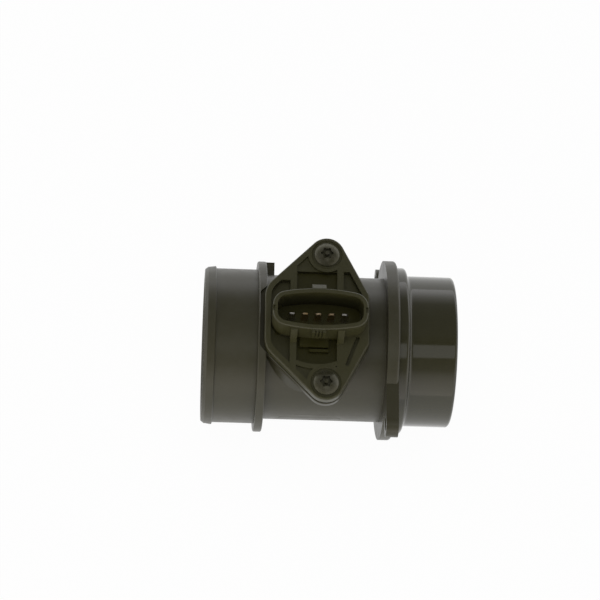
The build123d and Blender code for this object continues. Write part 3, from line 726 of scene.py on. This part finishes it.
def floor_paint(glow_share):
    """White floor that keeps a faint shadow."""
    made, tree, shader = material("studio_floor")
    shader.inputs["Base Color"].default_value = FLOOR_WHITE
    shader.inputs["Roughness"].default_value = 1.0
    shader.inputs["Specular IOR Level"].default_value = 0.0
    glow = node(tree, "ShaderNodeEmission")
    mix = node(tree, "ShaderNodeMixShader")
    amount = calc(tree, "MULTIPLY", seen_as_backdrop(tree), glow_share)
    wire_up(
        tree,
        (amount, mix.inputs[0]),
        (shader.outputs[0], mix.inputs[1]),
        (glow.outputs[0], mix.inputs[2]),
        (mix.outputs[0], tree.nodes["Material Output"].inputs["Surface"]),
    )
    return made


def lay_floor(side, glow_share):
    """Lay a square floor just under the meter."""
    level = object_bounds()[0].z - FLOOR_GAP
    half = side / 2
    ends = ((-half, -half), (half, -half), (half, half), (-half, half))
    mesh = bpy.data.meshes.new("floor")
    mesh.from_pydata([(x, y, level) for x, y in ends], [], [(0, 1, 2, 3)])
    mesh.materials.append(floor_paint(glow_share))
    floor = add_object("floor", mesh)
    floor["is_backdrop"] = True


def lamp(name, direction, distance, size, power):
    """An oblong area lamp that faces the meter from a direction."""
    data = bpy.data.lights.new(name, "AREA")
    data.shape = "RECTANGLE"
    data.size, data.size_y = size
    data.energy = power
    made = add_object(name, data)
    way = Vector(direction).normalized()
    made.location = way * distance
    made.rotation_mode = "QUATERNION"
    made.rotation_quaternion = way.to_track_quat("Z", "Y")
    return made


def hang_lamps(stage):
    """Hang two soft lamps that gloss doesn't mirror, and a strip that it does."""
    key = lamp("key", KEY_WAY, LAMP_DISTANCE, KEY_SIZE, stage.key)
    fill = lamp("fill", FILL_WAY, LAMP_DISTANCE, FILL_SIZE, stage.fill)
    fill.data.color = FRONT_TINT
    for made in (key, fill):
        made.visible_glossy = False
    size = (stage.strip_length, stage.strip_width)
    lamp("strip", STRIP_WAY, STRIP_DISTANCE, size, stage.strip)


def ramp(tree, value, stops, tint):
    """A colour ramp of greys with a slight tint."""
    made = node(tree, "ShaderNodeValToRGB")
    band = made.color_ramp
    while len(band.elements) < len(stops):
        band.elements.new(0.5)
    for element, (place, grey) in zip(band.elements, stops):
        element.position = place
        element.color = (*(grey * part for part in tint), 1)
    wire_up(tree, (value, made.inputs["Fac"]))
    return made.outputs["Color"]


def studio_world(horizon):
    """Bright walls near the horizon, a dark ceiling, and white for the camera."""
    world = bpy.data.worlds.new("studio")
    world.use_nodes = True
    tree = world.node_tree
    tree.nodes.clear()
    way = split(tree, node(tree, "ShaderNodeTexCoord").outputs["Generated"])
    front = ramp(tree, way["Z"], FRONT_WALL, FRONT_TINT)
    rear = ramp(tree, way["Z"], REAR_WALL, REAR_TINT)
    side = spread(tree, way["Y"], -WALL_SEAM, WALL_SEAM)
    walls = node(tree, "ShaderNodeBackground")
    walls.inputs["Strength"].default_value = horizon
    white = node(tree, "ShaderNodeBackground")
    white.inputs["Color"].default_value = WHITE
    rays = node(tree, "ShaderNodeLightPath").outputs
    mix = node(tree, "ShaderNodeMixShader")
    out = node(tree, "ShaderNodeOutputWorld")
    wire_up(
        tree,
        (blend_colours(tree, side, front, rear), walls.inputs["Color"]),
        (rays["Is Camera Ray"], mix.inputs[0]),
        (walls.outputs[0], mix.inputs[1]),
        (white.outputs[0], mix.inputs[2]),
        (mix.outputs[0], out.inputs["Surface"]),
    )
    bpy.context.scene.world = world


def set_camera(lens):
    """Place the camera over the sensor, with its right and up made square."""
    data = bpy.data.cameras.new("camera")
    data.lens = lens
    data.clip_end = CAMERA_REACH
    camera = add_object("camera", data)
    right = Vector(CAMERA_RIGHT).normalized()
    up = Vector(CAMERA_UP)
    up = (up - up.dot(right) * right).normalized()
    turn = Matrix((right, up, right.cross(up))).transposed()
    camera.matrix_world = Matrix.Translation(CAMERA_PLACE) @ turn.to_4x4()
    bpy.context.scene.camera = camera


# Operators


class METER_OT_tube(bpy.types.Operator):
    """Give the measuring tube its satin black skin"""

    bl_idname = "meter.tube"
    bl_label = "Tube"

    def execute(self, context):
        look = context.scene.meter_finish
        skin = plastic(
            "tube_plastic", look.plastic, look.plastic_worn, look.tube_roughness
        )
        dress(["tube_housing"], skin)
        return {"FINISHED"}


class METER_OT_sleeve(bpy.types.Operator):
    """Give the sealing sleeve its glossy rubber"""

    bl_idname = "meter.sleeve"
    bl_label = "Sleeve"

    def execute(self, context):
        look = context.scene.meter_finish
        rubber = plastic(
            "sleeve_rubber",
            look.rubber,
            look.plastic_worn,
            look.rubber_roughness,
            grain=900.0,
            amount=0.15,
            depth=0.004 * MM,
        )
        shader = rubber.node_tree.nodes["Principled BSDF"]
        shader.inputs["IOR"].default_value = look.rubber_ior
        dress(["sealing_sleeve"], rubber)
        return {"FINISHED"}


class METER_OT_sensor(bpy.types.Operator):
    """Give the plug-in sensor and its covers their satin plastic, with shade painted into
    the sensor's pockets and socket
    """

    bl_idname = "meter.sensor"
    bl_label = "Sensor"

    def execute(self, context):
        look = context.scene.meter_finish
        body = plastic(
            "sensor_plastic",
            look.sensor,
            look.sensor_worn,
            look.sensor_roughness,
            grain=3200.0,
            cloud=240.0,
        )
        # Shade painted into the middle pockets and the socket, which lie in shade
        fields = (SHADED_POCKETS, SHADED_SOCKET)
        paint_shade_in_fields(body, sensor_middle(), fields, look.painted_shade_level, look.painted_shade)
        dress(["sensor_body"], body)
        cover = plastic(
            "cover_plastic", look.plastic, look.plastic_worn, roughness=0.5, cloud=300.0
        )
        dress(["electronics_cover", "channel_cover"], cover)
        return {"FINISHED"}


class METER_OT_contacts(bpy.types.Operator):
    """Give the five contacts their tin"""

    bl_idname = "meter.contacts"
    bl_label = "Contacts"

    def execute(self, context):
        look = context.scene.meter_finish
        tin = metal(
            "contact_tin",
            look.tin,
            look.brass,
            roughness=0.32,
            stretch=(1.0, 1.0, 0.06),
            band=(sensor_middle(), look.bare),
        )
        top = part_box("terminal_3")[1].z
        scuff_top(tin, top - look.scuffed, metallic=0.6)
        dress([name for name in NODES if name.startswith("terminal_")], tin)
        return {"FINISHED"}


class METER_OT_screws(bpy.types.Operator):
    """Give the two screws their black zinc"""

    bl_idname = "meter.screws"
    bl_label = "Screws"

    def execute(self, context):
        look = context.scene.meter_finish
        zinc = metal(
            "screw_steel",
            look.screw,
            look.screw_worn,
            roughness=0.3,
            stretch=(1.0, 1.0, 0.2),
            scale=1500.0,
            metallic=0.5,
        )
        dress(["front_screw", "rear_screw"], zinc)
        return {"FINISHED"}


class METER_OT_inlet(bpy.types.Operator):
    """Weave the inlet's screen and finish the honeycomb and its ring"""

    bl_idname = "meter.inlet"
    bl_label = "Inlet"

    def execute(self, context):
        look = context.scene.meter_finish
        sizes = context.scene.meter_screen
        low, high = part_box("wire_screen")
        wire = metal(
            "screen_wire", look.wire, look.sheet, roughness=0.3, stretch=(1.0, 0.3, 0.3)
        )
        values = {
            "Radius": high.y,
            "Pitch": sizes.pitch,
            "Wire": sizes.wire,
            "Rim": sizes.rim,
            "Thickness": high.x - low.x,
            "Place": (low.x + high.x) / 2,
            "Sides": sizes.sides,
            "Finish": wire,
        }
        screen = grown("inlet_screen", woven_screen_tree(), values)
        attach(screen, "root")
        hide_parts("wire_screen")
        grille = plastic(
            "grille_plastic", look.plastic, look.plastic_worn, roughness=0.5, cloud=200.0
        )
        dress(["flow_straightener"], grille)
        ring = metal(
            "spring_steel",
            look.spring,
            look.screw_worn,
            roughness=0.3,
            stretch=(1.0, 0.2, 0.2),
        )
        dress(["retaining_ring"], ring)
        return {"FINISHED"}


class METER_OT_inside(bpy.types.Operator):
    """Finish the seal, the circuit and the thermistor"""

    bl_idname = "meter.inside"
    bl_label = "Inner pieces"

    def execute(self, context):
        look = context.scene.meter_finish
        seal = plastic(
            "seal_rubber", look.silicone, look.silicone, roughness=0.55, cloud=200.0
        )
        dress(["sensor_o_ring"], seal)
        sheet = metal(
            "carrier_metal",
            look.sheet,
            look.wire,
            roughness=0.32,
            stretch=(0.08, 1.0, 1.0),
        )
        dress(["carrier_plate"], sheet)
        board = plastic(
            "board_ceramic", look.ceramic, look.ceramic, roughness=0.6, grain=6000.0
        )
        dress(["circuit_substrate"], board)
        chip = plastic(
            "chip_silicon", look.silicon, look.silicon, roughness=0.12, depth=0.001 * MM
        )
        dress(["sensor_chip"], chip)
        bead = plastic(
            "thermistor_coating", look.bead, look.bead, roughness=0.2, depth=0.006 * MM
        )
        dress(["air_temperature_sensor"], bead)
        return {"FINISHED"}


class METER_OT_stage(bpy.types.Operator):
    """Lay the floor and set the lamps, the world and the camera"""

    bl_idname = "meter.stage"
    bl_label = "Stage"

    def execute(self, context):
        stage = context.scene.meter_stage
        lay_floor(stage.floor, stage.floor_glow)
        hang_lamps(stage)
        studio_world(stage.horizon)
        set_camera(stage.lens)
        context.scene.view_settings.view_transform = "Standard"
        return {"FINISHED"}


OPERATORS = (
    METER_OT_tube,
    METER_OT_sleeve,
    METER_OT_sensor,
    METER_OT_contacts,
    METER_OT_screws,
    METER_OT_inlet,
    METER_OT_inside,
    METER_OT_stage,
)


class METER_PT_panel(bpy.types.Panel):
    """Pieces and stage of the air mass meter"""

    bl_label = "Air meter"
    bl_space_type = "VIEW_3D"
    bl_region_type = "UI"
    bl_category = "Air meter"

    def draw(self, context):
        for kind in OPERATORS:
            self.layout.operator(kind.bl_idname)
        for group in (
            context.scene.meter_finish,
            context.scene.meter_screen,
            context.scene.meter_stage,
        ):
            for key in group.bl_rna.properties.keys():
                if key not in ("rna_type", "name"):
                    self.layout.prop(group, key)


CLASSES = (MeterFinish, MeterScreen, MeterStage, *OPERATORS, METER_PT_panel)


def register():
    """Register the classes and the property groups."""
    for kind in CLASSES:
        bpy.utils.register_class(kind)
    bpy.types.Scene.meter_finish = PointerProperty(type=MeterFinish)
    bpy.types.Scene.meter_screen = PointerProperty(type=MeterScreen)
    bpy.types.Scene.meter_stage = PointerProperty(type=MeterStage)


def unregister():
    """Remove the property groups and the classes."""
    del bpy.types.Scene.meter_finish
    del bpy.types.Scene.meter_screen
    del bpy.types.Scene.meter_stage
    for kind in reversed(CLASSES):
        bpy.utils.unregister_class(kind)


def main():
    """Register the classes and build everything."""
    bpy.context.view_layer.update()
    register()
    for kind in OPERATORS:
        group, name = kind.bl_idname.split(".")
        getattr(getattr(bpy.ops, group), name)()


if __name__ == "__main__":
    main()
